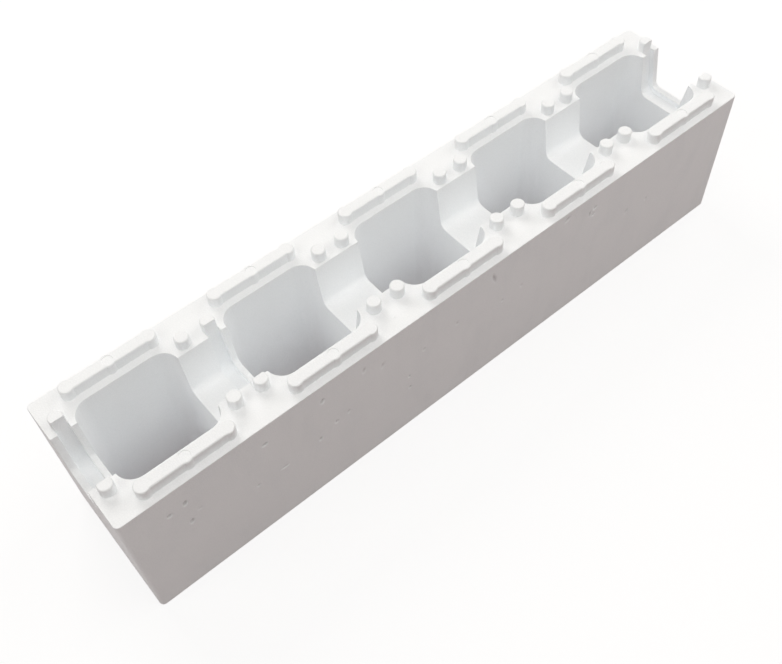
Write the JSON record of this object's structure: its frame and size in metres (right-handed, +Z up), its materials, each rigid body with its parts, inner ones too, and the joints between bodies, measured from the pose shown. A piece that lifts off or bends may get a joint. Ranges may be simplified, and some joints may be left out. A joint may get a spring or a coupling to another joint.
{
  "type": "pool wall block",
  "caption": "White foam wall block for a poured pool wall, with through cells, saddles, slider slots, and pegs and ribs that fit the underside of the next course.",
  "frame": {"origin": "middle of the underside", "axes": "+X along the wall, from the end nearer the slotted web to the other; +Y through the wall; +Z up, the way the pegs point"},
  "size_m": [1.25, 0.25, 0.287],
  "materials": {
    "foam": "matte"
  },
  "bodies": {
    "root": {"wall_block": "foam"}
  },
  "joints": []
}
